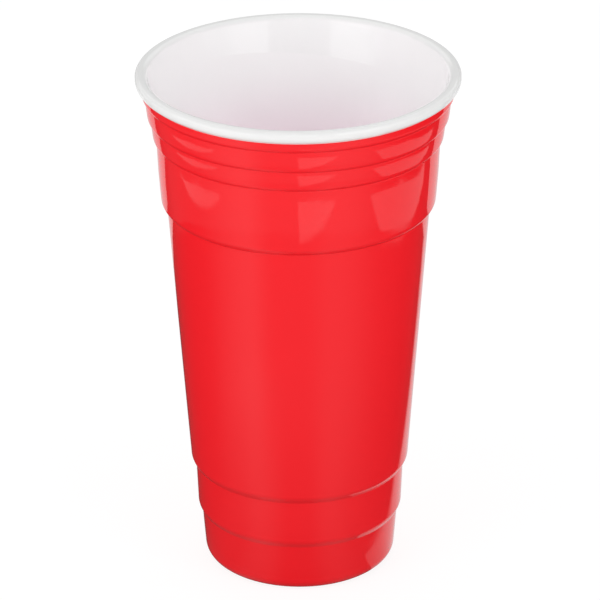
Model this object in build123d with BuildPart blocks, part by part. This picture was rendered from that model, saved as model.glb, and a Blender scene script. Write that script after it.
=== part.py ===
from build123d import *
import os
from math import radians, tan

# A tall stacking tumbler, moulded in two shots: a red shell with stepped rings outside and a white
# liner with a rounded lip inside. Millimetres, +Z up, origin at the middle of the base on the table.

# Heights, from crease to crease going up. The body takes what the rest of the cup leaves it.
cup_height = 190.0
foot_height = 18.75
waist_height = 18.95
collar_height = 25.75
lower_ring_height = 7.7
upper_ring_height = 8.2
neck_height = 3.75
lip_depth = 4.75

# Radius where the shell would meet the table if its heel were sharp
base_radius = 34.45

# Draft of each band, in degrees from upright. A crowned band starts out steeper and ends nearer to
# upright by its crown, and a long round joins the two halves over this share of their length.
foot_draft = 4.7
waist_draft = 2.4
body_draft = 4.22
collar_draft = 3.4
ring_draft = 5.45
neck_draft = 2.4
collar_crown = 1.6
ring_crown = 3.0
crown_share = 0.66

# Ledges: how far each one steps out, how high it climbs doing so, and how its shoulder is rounded
foot_ledge = 1.35
waist_ledge = 1.65
low_ledge_rise = 2.35
low_shoulder_round = 4.0
collar_ledge = 2.0
collar_ledge_rise = 1.55
collar_shoulder_round = 3.0
ring_ledge = 1.18
ring_ledge_rise = 0.75
ring_shoulder_round = 1.8
crease_round = 0.8

# Lip: a solid bead that overhangs the neck, with a sloping underside
lip_overhang = 2.2
lip_side_height = 3.1
lip_top_round = 1.4
lip_inner_round = 1.9
lip_under_round = 2.6

# Walls and floors of the two plastics. The shell wall is measured at its thinnest, at the creases.
shell_wall = 1.2
liner_wall = 1.3
shell_floor = 1.6
liner_floor = 1.4
inner_floor_round = 4.0
inner_flare_round = 180.0

# Underside: a flat ring to stand on round a shallow recess, with the gate's dimple in the middle
heel_round = 4.5
foot_ring_width = 3.0
recess_depth = 1.2
recess_slope = 0.6
recess_round = 0.8
gate_radius = 3.0
gate_depth = 0.35


def spread(height, draft):
    """How far a band of this height and draft widens, bottom to top."""
    return height * tan(radians(draft))


def crossing(line_a, line_b):
    """Where two sloping wall lines meet. A line is a point and its spread per millimetre of height."""
    (radius_a, level_a, slope_a), (radius_b, level_b, slope_b) = line_a, line_b
    level = (radius_a - slope_a * level_a - radius_b + slope_b * level_b) / (slope_b - slope_a)
    return radius_a + slope_a * (level - level_a), level


def wall_line(low, high, wall):
    """The straight inside wall that stays this far inside two creases of the shell."""
    slope = (high[0] - low[0]) / (high[1] - low[1])
    return low[0] - wall, low[1], slope


def radius_at(line, level):
    """Radius of a sloping wall line at this height."""
    return line[0] + line[2] * (level - line[1])


# The outside, walked from the table up to the lip. Each band ends in a crease, and a ledge with a
# rounded shoulder carries the next band further out.
lip_underside = cup_height - lip_depth
body_height = (lip_underside - foot_height - waist_height - collar_height
               - lower_ring_height - upper_ring_height - neck_height)

bands = [
    (foot_height, foot_draft, 0, foot_ledge, low_ledge_rise, low_shoulder_round),
    (waist_height, waist_draft, 0, waist_ledge, low_ledge_rise, low_shoulder_round),
    (body_height, body_draft, 0, collar_ledge, collar_ledge_rise, collar_shoulder_round),
    (collar_height, collar_draft, collar_crown, ring_ledge, ring_ledge_rise, ring_shoulder_round),
    (lower_ring_height, ring_draft, ring_crown, ring_ledge, ring_ledge_rise, ring_shoulder_round),
    (upper_ring_height, ring_draft, ring_crown, ring_ledge, ring_ledge_rise, ring_shoulder_round),
]

outside = [(base_radius, 0)]
outside_rounds = [heel_round]
creases = []
level = 0
rise_below = 0
radius = base_radius
for height, draft, crown, ledge, rise, shoulder_round in bands:
    half = (height - rise_below) / 2
    if crown:
        outside.append((radius + spread(half, draft + crown), level + rise_below + half))
        outside_rounds.append(half * crown_share / tan(radians(crown)))
    radius += spread(half, draft + crown) + spread(half, draft - crown)
    level += height
    creases.append((radius, level))
    outside += [(radius, level), (radius + ledge, level + rise)]
    outside_rounds += [crease_round, shoulder_round]
    radius += ledge
    rise_below = rise
neck_radius = radius + spread(neck_height - rise_below, neck_draft)
foot_crease, _, collar_crease, low_ring_crease, _, top_ring_crease = creases

# The inside is smooth: one long taper, then a soft flare past the rings. The face where the two
# plastics meet runs beside it, one liner wall further out.
lip_radius = neck_radius + lip_overhang
face_floor = recess_depth + shell_floor
cup_floor = face_floor + liner_floor


def inside_points(wall, floor, top):
    """Floor corner, flare corner and mouth of an inside outline, this far inside the creases."""
    taper = wall_line(foot_crease, collar_crease, wall)
    flare = wall_line(low_ring_crease, top_ring_crease, wall)
    return [(radius_at(taper, floor), floor), crossing(taper, flare), (radius_at(flare, top), top)]


face = inside_points(shell_wall, face_floor, lip_underside)
hollow = inside_points(shell_wall + liner_wall, cup_floor, cup_height)
face_rounds = [inner_floor_round + liner_wall, inner_flare_round - liner_wall]
hollow_rounds = [inner_floor_round, inner_flare_round]

# Shell: red plastic, the outside from the foot to the underside of the lip
recess_radius = base_radius - heel_round - foot_ring_width
with BuildPart() as shell:
    with BuildSketch(Plane.XZ) as shell_section:
        with BuildLine():
            FilletPolyline(
                (0, recess_depth + gate_depth),
                (gate_radius - gate_depth, recess_depth + gate_depth),
                (gate_radius, recess_depth),
                (recess_radius - recess_slope, recess_depth),
                (recess_radius, 0),
                *outside,
                (neck_radius, lip_underside),
                face[2],
                face[1],
                face[0],
                (0, face_floor),
                radius=[0, 0, 0, recess_round, 0, *outside_rounds, 0, 0, *reversed(face_rounds), 0],
                close=True,
            )
        make_face()
    revolve(axis=Axis.Z)
shell.part.label = "shell"

# Liner: white plastic, the inside and the solid lip that caps the shell's top edge
with BuildPart() as liner:
    with BuildSketch(Plane.XZ) as liner_section:
        with BuildLine():
            FilletPolyline(
                (0, cup_floor),
                *hollow,
                (lip_radius, cup_height),
                (lip_radius, cup_height - lip_side_height),
                (neck_radius, lip_underside),
                face[2],
                face[1],
                face[0],
                (0, face_floor),
                radius=[0, *hollow_rounds, lip_inner_round, lip_top_round, lip_under_round, 0, 0,
                        *reversed(face_rounds), 0],
                close=True,
            )
        make_face()
    revolve(axis=Axis.Z)
liner.part.label = "liner"

os.makedirs("parts", exist_ok=True)
export_step(shell.part, "parts/shell.step")
export_step(liner.part, "parts/liner.step")
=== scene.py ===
from math import acos, ceil, cos, pi, radians, sin, tan

import bpy
from mathutils import Matrix, Vector


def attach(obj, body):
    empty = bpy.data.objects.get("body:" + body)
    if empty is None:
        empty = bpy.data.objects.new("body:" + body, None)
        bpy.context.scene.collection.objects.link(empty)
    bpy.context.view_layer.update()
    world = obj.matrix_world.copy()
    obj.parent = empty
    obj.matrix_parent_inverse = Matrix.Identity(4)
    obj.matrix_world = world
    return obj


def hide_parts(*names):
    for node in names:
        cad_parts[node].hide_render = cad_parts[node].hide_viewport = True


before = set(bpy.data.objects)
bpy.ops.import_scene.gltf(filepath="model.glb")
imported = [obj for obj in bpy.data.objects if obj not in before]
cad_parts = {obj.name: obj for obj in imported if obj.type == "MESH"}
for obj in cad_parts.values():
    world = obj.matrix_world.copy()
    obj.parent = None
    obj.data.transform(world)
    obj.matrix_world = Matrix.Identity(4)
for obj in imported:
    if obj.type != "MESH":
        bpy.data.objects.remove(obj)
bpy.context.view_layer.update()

# Red shell: the outside of the tumbler, from the ring it stands on up to the underside of the lip.
# Hard, glossy, bright red plastic, injection moulded round the white liner in a two-shot mould, with
# stepped bands that stiffen the wall and give the hand a grip.

MM = 0.001

# Heights, from crease to crease going up, and the radius at the table if the heel were sharp
cup_height = 190.0 * MM
foot_height = 18.75 * MM
waist_height = 18.95 * MM
collar_height = 25.75 * MM
lower_ring_height = 7.7 * MM
upper_ring_height = 8.2 * MM
neck_height = 3.75 * MM
lip_depth = 4.75 * MM
base_radius = 34.45 * MM

# Draft of each band, in degrees from upright. A crowned band starts out steeper and ends nearer to
# upright by its crown, and a long round joins the two halves over this share of their length.
foot_draft = 4.7
waist_draft = 2.4
body_draft = 4.22
collar_draft = 3.4
ring_draft = 5.45
neck_draft = 2.4
collar_crown = 1.6
ring_crown = 3.0
crown_share = 0.66

# Ledges: how far each one steps out, how high it climbs doing so, and how its shoulder is rounded
foot_ledge = 1.35 * MM
waist_ledge = 1.65 * MM
low_ledge_rise = 2.35 * MM
low_shoulder_round = 4.0 * MM
collar_ledge = 2.0 * MM
collar_ledge_rise = 1.55 * MM
collar_shoulder_round = 3.0 * MM
ring_ledge = 1.18 * MM
ring_ledge_rise = 0.75 * MM
ring_shoulder_round = 1.8 * MM
crease_round = 0.8 * MM

# Underside: a flat ring to stand on round a shallow recess, with the gate's dimple in the middle
heel_round = 4.5 * MM
foot_ring_width = 3.0 * MM
recess_depth = 1.2 * MM
recess_slope = 0.6 * MM
recess_round = 0.8 * MM
gate_radius = 3.0 * MM
gate_depth = 0.35 * MM

# Walls of the two plastics, the red one at its thinnest, and the rounds of the hollow inside them
shell_wall = 1.2 * MM
shell_floor = 1.6 * MM
liner_wall = 1.3 * MM
inner_floor_round = 4.0 * MM
inner_flare_round = 180.0 * MM

# How finely an outline is divided into rows, and a turned skin into steps
arc_step = radians(5)
longest_row = 3.0 * MM
edge_row = 0.15 * MM
shortest_run = 4 * edge_row
round_steps = 256
sharp_edge = radians(35)
almost_none = 1e-6


def rows_between(start, end):
    """Rows along a straight run, with one close to each end so that the smooth shading stays true."""
    run = end - start
    length = run.length
    if length < shortest_run:
        return [end]
    steps = ceil(length / longest_row)
    stops = [edge_row] + [length * i / steps for i in range(1, steps)] + [length - edge_row, length]
    return [start + run * (stop / length) for stop in stops]


def rounded(corners, rounds):
    """An outline of radius and height: straight runs between corners, each corner with its own arc."""
    corners = [Vector(corner) for corner in corners]
    points = [corners[0]]
    for before, corner, after, arc_radius in zip(corners, corners[1:], corners[2:], rounds[1:]):
        back, onward = (before - corner).normalized(), (after - corner).normalized()
        turn = pi - acos(max(-1.0, min(1.0, back.dot(onward))))
        if arc_radius == 0 or turn < almost_none:
            points += rows_between(points[-1], corner)
            continue
        set_back = arc_radius * tan(turn / 2)
        centre = corner + (back + onward).normalized() * (arc_radius / cos(turn / 2))
        points += rows_between(points[-1], corner + back * set_back)
        first = points[-1] - centre
        side = 1 if back.cross(onward) < 0 else -1
        steps = max(2, ceil(turn / arc_step))
        for k in range(1, steps + 1):
            angle = side * turn * k / steps
            points.append(centre + Vector((first.x * cos(angle) - first.y * sin(angle),
                                           first.x * sin(angle) + first.y * cos(angle))))
    return points + rows_between(points[-1], corners[-1])


def turned(name, outline):
    """Turns an outline round the cup's axis into one smooth closed skin."""
    angles = [2 * pi * k / round_steps for k in range(round_steps)]
    points, faces, ring_below = [], [], None
    for spot in outline:
        first = len(points)
        if spot.x < almost_none:
            points.append((0, 0, spot.y))
            ring = [first] * round_steps
        else:
            points += [(spot.x * cos(angle), spot.x * sin(angle), spot.y) for angle in angles]
            ring = list(range(first, first + round_steps))
        if ring_below:
            for k in range(round_steps):
                n = (k + 1) % round_steps
                corners = (ring_below[k], ring_below[n], ring[n], ring[k])
                faces.append(tuple(dict.fromkeys(corners)))
        ring_below = ring
    mesh = bpy.data.meshes.new(name)
    mesh.from_pydata(points, [], faces)
    mesh.validate()
    mesh.shade_smooth()
    mesh.set_sharp_from_angle(angle=sharp_edge)
    piece = bpy.data.objects.new(name, mesh)
    bpy.context.collection.objects.link(piece)
    return piece


def spread(height, draft):
    """How far a band of this height and draft widens, bottom to top."""
    return height * tan(radians(draft))


def crossing(line_a, line_b):
    """Where two sloping wall lines meet. A line is a point and its spread per metre of height."""
    (radius_a, level_a, slope_a), (radius_b, level_b, slope_b) = line_a, line_b
    level = (radius_a - slope_a * level_a - radius_b + slope_b * level_b) / (slope_b - slope_a)
    return radius_a + slope_a * (level - level_a), level


def wall_line(low, high, wall):
    """The straight inside wall that stays this far inside two creases of the shell."""
    return low[0] - wall, low[1], (high[0] - low[0]) / (high[1] - low[1])


def radius_at(line, level):
    """Radius of a sloping wall line at this height."""
    return line[0] + line[2] * (level - line[1])


lip_underside = cup_height - lip_depth
body_height = (lip_underside - foot_height - waist_height - collar_height
               - lower_ring_height - upper_ring_height - neck_height)
bands = [
    (foot_height, foot_draft, 0, foot_ledge, low_ledge_rise, low_shoulder_round),
    (waist_height, waist_draft, 0, waist_ledge, low_ledge_rise, low_shoulder_round),
    (body_height, body_draft, 0, collar_ledge, collar_ledge_rise, collar_shoulder_round),
    (collar_height, collar_draft, collar_crown, ring_ledge, ring_ledge_rise, ring_shoulder_round),
    (lower_ring_height, ring_draft, ring_crown, ring_ledge, ring_ledge_rise, ring_shoulder_round),
    (upper_ring_height, ring_draft, ring_crown, ring_ledge, ring_ledge_rise, ring_shoulder_round),
]

outside = [(base_radius, 0)]
outside_rounds = [heel_round]
creases = []
level = 0
rise_below = 0
radius = base_radius
for height, draft, crown, ledge, rise, shoulder_round in bands:
    half = (height - rise_below) / 2
    if crown:
        outside.append((radius + spread(half, draft + crown), level + rise_below + half))
        outside_rounds.append(half * crown_share / tan(radians(crown)))
    radius += spread(half, draft + crown) + spread(half, draft - crown)
    level += height
    creases.append((radius, level))
    outside += [(radius, level), (radius + ledge, level + rise)]
    outside_rounds += [crease_round, shoulder_round]
    radius += ledge
    rise_below = rise
neck_radius = radius + spread(neck_height - rise_below, neck_draft)
foot_crease, _, collar_crease, low_ring_crease, _, top_ring_crease = creases


def inside_points(wall, floor, top):
    """Floor corner, flare corner and mouth of an inside outline, this far inside the creases."""
    taper = wall_line(foot_crease, collar_crease, wall)
    flare = wall_line(low_ring_crease, top_ring_crease, wall)
    return [(radius_at(taper, floor), floor), crossing(taper, flare), (radius_at(flare, top), top)]


# The face where the two plastics meet, and then the shell's whole section
face_floor = recess_depth + shell_floor
face = inside_points(shell_wall, face_floor, lip_underside)
face_rounds = [inner_floor_round + liner_wall, inner_flare_round - liner_wall]
recess_radius = base_radius - heel_round - foot_ring_width
shell_corners = [
    (0, recess_depth + gate_depth),
    (gate_radius - gate_depth, recess_depth + gate_depth),
    (gate_radius, recess_depth),
    (recess_radius - recess_slope, recess_depth),
    (recess_radius, 0),
    *outside,
    (neck_radius, lip_underside),
    *reversed(face),
    (0, face_floor),
]
shell_rounds = [0, 0, 0, recess_round, 0, *outside_rounds, 0, 0, *reversed(face_rounds), 0]
red_shell = turned("red_shell", rounded(shell_corners, shell_rounds))


def feed(socket, value):
    """Joins another node's output to a node's input, or sets the input to a plain value."""
    if isinstance(value, bpy.types.NodeSocket):
        socket.id_data.links.new(value, socket)
    else:
        socket.default_value = value


def new_node(tree, kind, *values, **settings):
    """A node with its inputs in order or by name, plain or joined, and its other settings by name."""
    node = tree.nodes.new(kind)
    for key, value in settings.items():
        socket_name = key.replace("_", " ")
        if socket_name in node.inputs:
            feed(node.inputs[socket_name], value)
        else:
            setattr(node, key, value)
    for socket, value in zip(node.inputs, values):
        feed(socket, value)
    return node


def empty_material(name):
    """A material whose nodes are still to be added."""
    material = bpy.data.materials.new(name)
    material.use_nodes = True
    material.node_tree.nodes.clear()
    return material


def noise_on(place, scale, detail=2.0, roughness=0.5):
    """A cloudy pattern fixed to the piece, in patches of about one over scale metres."""
    return new_node(place.id_data, "ShaderNodeTexNoise", Vector=place, Scale=scale, Detail=detail,
                    Roughness=roughness).outputs["Fac"]


def remapped(value, before, after, kind="LINEAR"):
    """Carries a value from one range to another."""
    return new_node(value.id_data, "ShaderNodeMapRange", value, *before, *after,
                    interpolation_type=kind).outputs["Result"]


def mixed(factor, first, second, kind="RGBA"):
    """Goes from a first colour, or number, to a second one as the factor goes from 0 to 1."""
    mix = new_node(factor.id_data, "ShaderNodeMix", factor, data_type=kind)
    # Which of the node's inputs and outputs are the ones for colours, or for numbers
    first_input, result = (6, 2) if kind == "RGBA" else (2, 0)
    feed(mix.inputs[first_input], first)
    feed(mix.inputs[first_input + 1], second)
    return mix.outputs[result]


def dented(height, depth, under=None, strength=1.0):
    """Bump from a height whose full range stands for this depth in metres, on the bump under it."""
    bump = new_node(height.id_data, "ShaderNodeBump", Strength=strength, Distance=depth, Height=height)
    if under is not None:
        feed(bump.inputs["Normal"], under)
    return bump.outputs["Normal"]


# What the mould leaves on a glossy wall: a slow ripple, and a grain too fine to see from a step away
ripple_depth = 0.04 * MM
grain_depth = 0.004 * MM


def mould_marks(place, under=None):
    """The ripple and the grain of a moulded wall, on the bump under them."""
    ripple = dented(noise_on(place, scale=90.0, detail=1.0), ripple_depth, under)
    return dented(noise_on(place, scale=900.0, detail=2.0), grain_depth, ripple)


# Red plastic: a slightly cloudy red with an uneven polish, rubbed dull on the ring that it stands on.
# soft_noise and crisp_noise are the stretch of a pattern that is spread over the whole of a change.
red_bright = (0.97, 0.0110, 0.0185, 1)
red_deep = (0.94, 0.0092, 0.0162, 1)
red_polish = (0.045, 0.085)
rubbed_polish = (0.16, 0.34)
rubbed_levels = (0.05 * MM, 1.0 * MM)
soft_noise = (0.3, 0.7)
crisp_noise = (0.4, 0.6)
red_ior = 1.5

red_plastic = empty_material("red_glossy_plastic")
tree = red_plastic.node_tree
place = new_node(tree, "ShaderNodeTexCoord").outputs["Object"]
place_z = new_node(tree, "ShaderNodeSeparateXYZ", place).outputs["Z"]
colour = mixed(noise_on(place, scale=22.0, detail=3.0), red_deep, red_bright)
polish = remapped(noise_on(place, scale=60.0, detail=4.0, roughness=0.6), soft_noise, red_polish)
scuffs = remapped(noise_on(place, scale=420.0, detail=3.0, roughness=0.6), crisp_noise, rubbed_polish)
rubbed = remapped(place_z, rubbed_levels, (1, 0))
shader = new_node(tree, "ShaderNodeBsdfPrincipled", Base_Color=colour, IOR=red_ior,
                  Roughness=mixed(rubbed, polish, scuffs, "FLOAT"), Normal=mould_marks(place))
new_node(tree, "ShaderNodeOutputMaterial", Surface=shader.outputs[0])
red_shell.data.materials.append(red_plastic)
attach(red_shell, "root")
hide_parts("shell")

# White liner: the inside of the tumbler and the thick rounded lip that caps the shell's top edge.
# White plastic of the same kind, moulded first, a little see-through, so the red behind it warms the
# inside towards the bottom. That warmth is painted into its colour as a pink tint: painted light.

liner_floor = 1.4 * MM
lip_overhang = 2.2 * MM
lip_side_height = 3.1 * MM
lip_top_round = 1.4 * MM
lip_inner_round = 1.9 * MM
lip_under_round = 2.6 * MM

lip_radius = neck_radius + lip_overhang
cup_floor = face_floor + liner_floor
liner_corners = [
    (0, cup_floor),
    *inside_points(shell_wall + liner_wall, cup_floor, cup_height),
    (lip_radius, cup_height),
    (lip_radius, cup_height - lip_side_height),
    (neck_radius, lip_underside),
    *reversed(face),
    (0, face_floor),
]
liner_rounds = [0, inner_floor_round, inner_flare_round, lip_inner_round, lip_top_round,
                lip_under_round, 0, 0, *reversed(face_rounds), 0]
white_liner = turned("white_liner", rounded(liner_corners, liner_rounds))

# White plastic: bright near the mouth, pinker below and a little greyer on the lip. The pink below is
# painted light, the red-tinted light through the wall, and the grey on the lip is painted shade
white_bright = (0.935, 0.935, 0.935, 1)
pink_painted_light = (0.885, 0.765, 0.820, 1)
white_cloudy = (0.90, 0.89, 0.885, 1)
lip_painted_shade = (0.875, 0.875, 0.87, 1)
pink_light_levels = (136.0 * MM, 174.0 * MM)
lip_shade_reaches = (53.0 * MM, 55.2 * MM)
most_cloudy = 0.25
white_polish = (0.05, 0.10)
white_ior = 1.49
white_shine = 0.4

# Just under the lip the real wall probably flares more than this mesh does. A bump stands for that and
# tilts the shading by about 8 degrees. Its band is fitted to the look of the gloss from the front: it
# lies lower on the right and dies out at both sides, which the wall itself wouldn't do.
lean_levels = (176.7 * MM, 189.0 * MM)
lean_out = 1.7 * MM
lean_slant = 0.066
lean_left = (-37.0 * MM, -25.0 * MM)
lean_right = (27.2 * MM, 30.0 * MM)

white_plastic = empty_material("white_glossy_plastic")
tree = white_plastic.node_tree
place = new_node(tree, "ShaderNodeTexCoord").outputs["Object"]
place_x, place_y, place_z = new_node(tree, "ShaderNodeSeparateXYZ", place).outputs
# Painted light: the wall's colour turns pink towards the bottom, for light that comes through the red
pink_light_share = remapped(place_z, pink_light_levels, (1, 0), "SMOOTHSTEP")
cloudiness = remapped(noise_on(place, scale=30.0, detail=3.0), (0, 1), (0, most_cloudy))
wall_colour = mixed(cloudiness, mixed(pink_light_share, white_bright, pink_painted_light), white_cloudy)
flat_place = new_node(tree, "ShaderNodeCombineXYZ", place_x, place_y).outputs[0]
from_axis = new_node(tree, "ShaderNodeVectorMath", flat_place, operation="LENGTH").outputs["Value"]
# Painted shade: the lip is coloured greyer than the wall
colour = mixed(remapped(from_axis, lip_shade_reaches, (0, 1), "SMOOTHSTEP"), wall_colour, lip_painted_shade)
polish = remapped(noise_on(place, scale=70.0, detail=4.0, roughness=0.6), soft_noise, white_polish)
slanted = new_node(tree, "ShaderNodeMath", place_x, lean_slant, place_z, operation="MULTIPLY_ADD")
lean = remapped(slanted.outputs[0], lean_levels, (0, 1))
lean_strength = new_node(tree, "ShaderNodeMath", remapped(place_x, lean_left, (0, 1)),
                         remapped(place_x, lean_right, (1, 0)), operation="MULTIPLY")
leaning = dented(lean, -lean_out, strength=lean_strength.outputs[0])
shader = new_node(tree, "ShaderNodeBsdfPrincipled", Base_Color=colour, Roughness=polish, IOR=white_ior,
                  Specular_IOR_Level=white_shine, Normal=mould_marks(place, leaning))
new_node(tree, "ShaderNodeOutputMaterial", Surface=shader.outputs[0])
white_liner.data.materials.append(white_plastic)
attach(white_liner, "root")
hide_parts("liner")

# Floor: the plain white studio table that the tumbler stands on. It shows as white to the camera and
# keeps the tumbler's soft shadow. It would show white in the gloss too, but the gloss cards hide it
# there. The light that it throws back at the tumbler is weaker near the foot, since the paint that the
# bounced light sees is darker there: a painted shade round the foot.

floor_half = 3.0
floor_level = -0.02 * MM
painted_shade_reaches = (0.06, 0.34)
painted_shade_pales = (0.55, 0.88)
shadow_paint = (0.16, 0.16, 0.16, 1)
floor_glow = 0.88

floor_mesh = bpy.data.meshes.new("studio_floor")
floor_corners = [(-1, -1), (1, -1), (1, 1), (-1, 1)]
floor_mesh.from_pydata([(x * floor_half, y * floor_half, floor_level) for x, y in floor_corners],
                       [], [(0, 1, 2, 3)])
studio_floor = bpy.data.objects.new("studio_floor", floor_mesh)
bpy.context.collection.objects.link(studio_floor)

floor_paint = empty_material("white_floor_paint")
tree = floor_paint.node_tree
place = new_node(tree, "ShaderNodeTexCoord").outputs["Object"]
from_cup = new_node(tree, "ShaderNodeVectorMath", place, operation="LENGTH").outputs["Value"]
# Painted shade: the floor's colour darker near the foot, for the light it throws back
bounce_paint = new_node(tree, "ShaderNodeBsdfDiffuse", remapped(from_cup, painted_shade_reaches, painted_shade_pales))
shown_paint = new_node(tree, "ShaderNodeBsdfDiffuse", shadow_paint)
glow = new_node(tree, "ShaderNodeEmission", Strength=floor_glow)
shown = new_node(tree, "ShaderNodeAddShader", shown_paint.outputs[0], glow.outputs[0])
path = new_node(tree, "ShaderNodeLightPath")
seen = new_node(tree, "ShaderNodeMath", path.outputs["Is Camera Ray"], path.outputs["Is Glossy Ray"],
                operation="ADD")
seen_through = new_node(tree, "ShaderNodeMath", seen.outputs[0], path.outputs["Is Transmission Ray"],
                        operation="ADD", use_clamp=True)
chosen = new_node(tree, "ShaderNodeMixShader", seen_through.outputs[0], bounce_paint.outputs[0],
                  shown.outputs[0])
new_node(tree, "ShaderNodeOutputMaterial", Surface=chosen.outputs[0])
floor_mesh.materials.append(floor_paint)

# Studio light: an even white room, a big soft light overhead, and softboxes in front and on both sides.
# Faint small lights inside the tumbler and in its mouth stand in for the daylight that falls into it
# and soaks through its thin wall.

room_light = 0.52
front_size = (0.5, 0.4)
side_size = (0.8, 0.6)
mid_cup = (0, 0, 0.11)
low_cup = (0, 0, 0.05)
mouth = (0, 0, cup_height)

world = bpy.data.worlds.new("white_room")
bpy.context.scene.world = world
world.use_nodes = True
backdrop = world.node_tree.nodes["Background"]
backdrop.inputs["Color"].default_value = (1, 1, 1, 1)
backdrop.inputs["Strength"].default_value = room_light


def softbox(name, place, aim, size, power, in_gloss=False, beam=None):
    """A rectangular light facing a point, narrowed to a beam of so many degrees where one is given.
    The camera never sees it, and the gloss only if told so."""
    lamp = bpy.data.lights.new(name, "AREA")
    lamp.shape = "RECTANGLE"
    lamp.size, lamp.size_y = size
    lamp.energy = power
    if beam:
        lamp.spread = radians(beam)
    holder = bpy.data.objects.new(name, lamp)
    bpy.context.collection.objects.link(holder)
    holder.location = place
    holder.rotation_euler = (Vector(aim) - Vector(place)).to_track_quat("-Z", "Y").to_euler()
    holder.visible_camera = False
    holder.visible_glossy = in_gloss


softbox("overhead_light", (0, 0.62, 0.80), mid_cup, (1.1, 0.7), power=1.9, in_gloss=True)
softbox("front_light", (0, -0.95, 0.45), mid_cup, front_size, power=0.35)
softbox("left_front_light", (-0.60, -0.65, 0.60), mid_cup, front_size, power=1.42)
softbox("right_front_light", (0.60, -0.65, 0.60), mid_cup, front_size, power=1.42)
softbox("left_light", (-1.06, -0.28, 0.42), mid_cup, side_size, power=1.95, in_gloss=True)
softbox("right_light", (1.02, -0.42, 0.42), mid_cup, side_size, power=1.55, in_gloss=True)
softbox("left_window", (-0.9, -0.85, 0.28), mid_cup, front_size, power=1.55)
softbox("right_window", (0.9, -0.85, 0.28), mid_cup, front_size, power=1.15)
softbox("inner_glow", low_cup, mouth, (0.045, 0.045), power=0.0158, beam=110)
softbox("mouth_light", (0, 0, cup_height - 0.5 * MM), low_cup, (0.074, 0.074), power=0.0013)
softbox("floor_light", (0, 0, cup_height - 1.0 * MM), low_cup, (0.06, 0.06), power=0.0100, beam=60)

# Gloss cards: what the glossy red side mirrors, since it leans out and looks down at the table. A dark
# sheet lies round the cup with pale cards on it, and two tall cards stand for windows. Only the gloss
# sees them: they are glowing sheets, no lamps, that paint those reflections. They are fitted to the look
# of the gloss from the front.

lowest_card = 0.5 * MM
card_gap = 0.1 * MM
widest_turn = 4
dim_share = 0.1
cards_laid = []


def gloss_card(name, points, faces):
    """A thin card that only the gloss sees. What it gives back is its node tree, still empty."""
    mesh = bpy.data.meshes.new(name)
    mesh.from_pydata(points, [], faces)
    card = bpy.data.objects.new(name, mesh)
    bpy.context.collection.objects.link(card)
    for unseen in ("camera", "diffuse", "transmission", "volume_scatter", "shadow"):
        setattr(card, "visible_" + unseen, False)
    material = empty_material(name)
    material.cycles.emission_sampling = "NONE"
    mesh.materials.append(material)
    return material.node_tree


def card_on_table(name, spots, faces):
    """A card that lies on the table, each a little above the last."""
    level = lowest_card + card_gap * len(cards_laid)
    cards_laid.append(name)
    return gloss_card(name, [(x, y, level) for x, y in spots], faces)


def lit(tree, strength, over_others=True):
    """Makes a card glow, adding to what lies behind it or hiding that."""
    light = new_node(tree, "ShaderNodeEmission", Strength=strength).outputs[0]
    if over_others:
        clear = new_node(tree, "ShaderNodeBsdfTransparent").outputs[0]
        light = new_node(tree, "ShaderNodeAddShader", clear, light).outputs[0]
    new_node(tree, "ShaderNodeOutputMaterial", Surface=light)


def polar(turn, reach):
    """A spot on the table: a turn in degrees, 0 towards the camera and rising to its right."""
    return reach * sin(radians(turn)), -reach * cos(radians(turn))


def turns_between(first, last):
    """Turns from one end of a curved card to the other, no more than the widest turn apart."""
    steps = ceil((last - first) / widest_turn)
    return [first + (last - first) * k / steps for k in range(steps + 1)]


def strip_faces(turns):
    """Faces of a strip that has two points at each turn."""
    return [(2 * k, 2 * k + 1, 2 * k + 3, 2 * k + 2) for k in range(len(turns) - 1)]


def plain_card(name, glow, *corners):
    """A card with straight sides, each corner a turn and a reach, and one brightness all over."""
    spots = [polar(*corner) for corner in corners]
    lit(card_on_table(name, spots, [tuple(range(len(corners)))]), glow)


def fading_card(name, ends, reaches, glow, soft_ends, dim_to_full):
    """A piece of a ring round the cup that fades out at its two ends, over so many degrees each. From
    one reach to another it goes from dim to its full glow."""
    turns = turns_between(*ends)
    spots = [polar(turn, reach) for turn in turns for reach in reaches]
    tree = card_on_table(name, spots, strip_faces(turns))
    half = radians((ends[1] - ends[0]) / 2)
    place = new_node(tree, "ShaderNodeTexCoord").outputs["Object"]
    ahead = new_node(tree, "ShaderNodeVectorRotate", Vector=place, Angle=-radians(sum(ends) / 2),
                     rotation_type="Z_AXIS")
    flat_and_forward = (1, -1, 0)
    flat_place = new_node(tree, "ShaderNodeVectorMath", ahead.outputs[0], flat_and_forward,
                          operation="MULTIPLY").outputs[0]
    from_cup = new_node(tree, "ShaderNodeVectorMath", flat_place, operation="LENGTH").outputs["Value"]
    sideways, forward, _ = new_node(tree, "ShaderNodeSeparateXYZ", flat_place).outputs
    angle = new_node(tree, "ShaderNodeMath", sideways, forward, operation="ARCTAN2").outputs[0]
    parts = [
        remapped(angle, (-half, -half + radians(soft_ends[0])), (0, 1), "SMOOTHSTEP"),
        remapped(angle, (half, half - radians(soft_ends[1])), (0, 1), "SMOOTHSTEP"),
        remapped(from_cup, dim_to_full, (dim_share, 1)),
    ]
    strength = glow
    for part in parts:
        strength = new_node(tree, "ShaderNodeMath", part, strength, operation="MULTIPLY").outputs[0]
    lit(tree, strength)


def window_card(name, ends, levels, reach, glow):
    """A tall glowing card that only the gloss sees, standing round the cup: a painted reflection of a
    window.
    """
    turns = turns_between(*ends)
    points = [(*polar(turn, reach), level) for turn in turns for level in levels]
    lit(gloss_card(name, points, strip_faces(turns)), glow, over_others=False)


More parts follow.
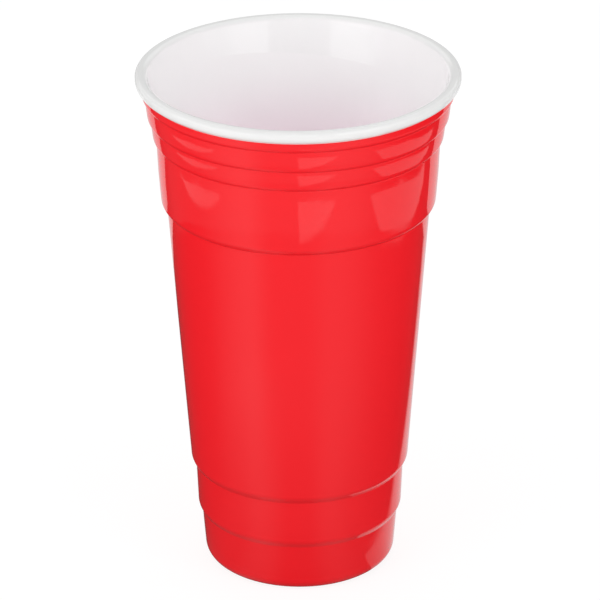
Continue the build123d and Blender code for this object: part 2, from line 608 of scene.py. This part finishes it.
# A faintly glowing dark sheet round the foot that only the gloss sees: a painted dark reflection
dark_sheet_reaches = (0.028, 2.9)
dark_sheet_glow = 0.06
dark_sheet_turns = range(0, 361, 10)
dark_sheet_spots = [polar(turn, reach) for turn in dark_sheet_turns for reach in dark_sheet_reaches]
lit(card_on_table("dark_gloss_sheet", dark_sheet_spots, strip_faces(dark_sheet_turns)), dark_sheet_glow, over_others=False)

fading_card("wide_card", (-115, 110), (0.030, 1.5), 0.31, soft_ends=(95, 90), dim_to_full=(0, 0.16))
fading_card("left_card", (-90, -19), (0.030, 1.5), 0.37, soft_ends=(50, 24), dim_to_full=(0.045, 0.16))
fading_card("right_card", (4, 78), (0.030, 1.5), 0.18, soft_ends=(24, 48), dim_to_full=(0, 0.16))
fading_card("low_left_card", (-56, -8), (0.034, 0.19), 0.17, soft_ends=(26, 18), dim_to_full=(0.19, 0.10))
fading_card("low_right_card", (6, 50), (0.034, 0.16), 0.09, soft_ends=(18, 22), dim_to_full=(0.16, 0.09))
fading_card("far_card", (-140, 80), (0.285, 1.5), 0.12, soft_ends=(30, 35), dim_to_full=(0, 0.16))

# Back sheet: a big pale sheet behind the cup and on its right, glowing for the gloss only, a painted
# reflection. Each row of its soft edge has a dark spot, a paler one with its paleness, and a full one,
# each a turn and a reach. The rest of its edge is given sideways and backwards.
sheet_pale = 0.74
soft_edge = [
    ((49, 0.0300), (50.5, 0.0301), 0.50, (80, 0.0315)),
    ((53.5, 0.045), (55.5, 0.0451), 0.50, (86, 0.047)),
    ((60, 0.052), (76, 0.053), 0.30, (89, 0.054)),
    ((90, 0.066), (96.5, 0.068), 0.37, (103, 0.070)),
    ((107, 0.090), (112, 0.092), 0.37, (117, 0.094)),
    ((122, 0.120), (126, 0.122), 0.37, (130, 0.124)),
    ((137, 0.200), (140.5, 0.2025), 0.37, (144, 0.205)),
    ((140, 0.248), (143, 0.249), 0.37, (146, 0.250)),
    ((140, 0.277), (142.5, 0.278), 0.37, (145, 0.279)),
]
outer_edge = [
    (0.235, 0.195), (0.50, 0.40), (0.50, 1.5), (-0.40, 1.5), (-0.40, 0.36), (-0.214, 0.225),
    (-0.150, 0.238), (-0.100, 0.235), (-0.055, 0.200), (-0.053, 0.084), (-0.046, 0.045),
    (-0.033, 0.006),
]
sheet_spots, sheet_pales, sheet_faces = [], [], []
for dark_spot, half_spot, half_pale, full_spot in soft_edge:
    sheet_spots += [polar(*dark_spot), polar(*half_spot), polar(*full_spot)]
    sheet_pales += [0, half_pale, sheet_pale]
soft_count = len(sheet_spots)
for k in range(0, soft_count - 3, 3):
    sheet_faces += [(k, k + 3, k + 4, k + 1), (k + 1, k + 4, k + 5, k + 2)]
sheet_spots += outer_edge
sheet_pales += [sheet_pale] * len(outer_edge)
sheet_faces.append((*range(2, soft_count, 3), *range(soft_count, len(sheet_spots))))
tree = card_on_table("back_sheet", sheet_spots, sheet_faces)
pale = bpy.data.meshes["back_sheet"].attributes.new("pale", "FLOAT", "POINT")
pale.data.foreach_set("value", sheet_pales)
lit(tree, new_node(tree, "ShaderNodeAttribute", attribute_name="pale").outputs["Fac"])

# Small cards: three pale patches that the collar mirrors. Their corners began as the corners of those
# patches in the photograph, traced back to the table by a scratch script, and were moved by hand since.
plain_card("left_small_card", 0.62, (-107, 0.375), (-85, 0.368), (-63, 0.358), (-65, 0.338),
           (-75, 0.320), (-88, 0.321), (-98, 0.341))
plain_card("centre_small_card", 0.66, (-0.6, 0.358), (13, 0.358), (28, 0.354), (27, 0.336),
           (18, 0.294), (10, 0.276), (0.5, 0.264))
plain_card("right_small_card", 0.66, (57, 0.353), (71, 0.363), (87, 0.371), (119, 0.386),
           (117.5, 0.348), (112, 0.317), (103, 0.285), (85, 0.274), (67, 0.281))

window_levels = (0.21, 0.62)
window_reach = 0.9
window_card("right_window_card", (25, 58), window_levels, window_reach, glow=2.3)
window_card("left_window_card", (-57, -25), window_levels, window_reach, glow=2.4)

# Camera: a long lens well in front of the tumbler, looking down on it by about 25 degrees, so that the
# mouth shows as a wide oval. It is a hair out of level.

view_down = radians(24.94)
view_roll = radians(-0.215)
view_distance = 1.53807
view_aim = (0.371 * MM, 0, 100.841 * MM)
lens_length = 255.07
sensor_width = 36
farthest_seen = 20

camera_data = bpy.data.cameras.new("studio_camera")
camera_data.lens = lens_length
camera_data.sensor_width = sensor_width
camera_data.clip_end = farthest_seen
camera = bpy.data.objects.new("studio_camera", camera_data)
bpy.context.collection.objects.link(camera)
facing = Matrix.Rotation(pi / 2 - view_down, 4, "X") @ Matrix.Rotation(view_roll, 4, "Z")
camera.matrix_world = Matrix.Translation(view_aim) @ facing @ Matrix.Translation((0, 0, view_distance))
bpy.context.scene.camera = camera
bpy.context.scene.view_settings.view_transform = "Standard"
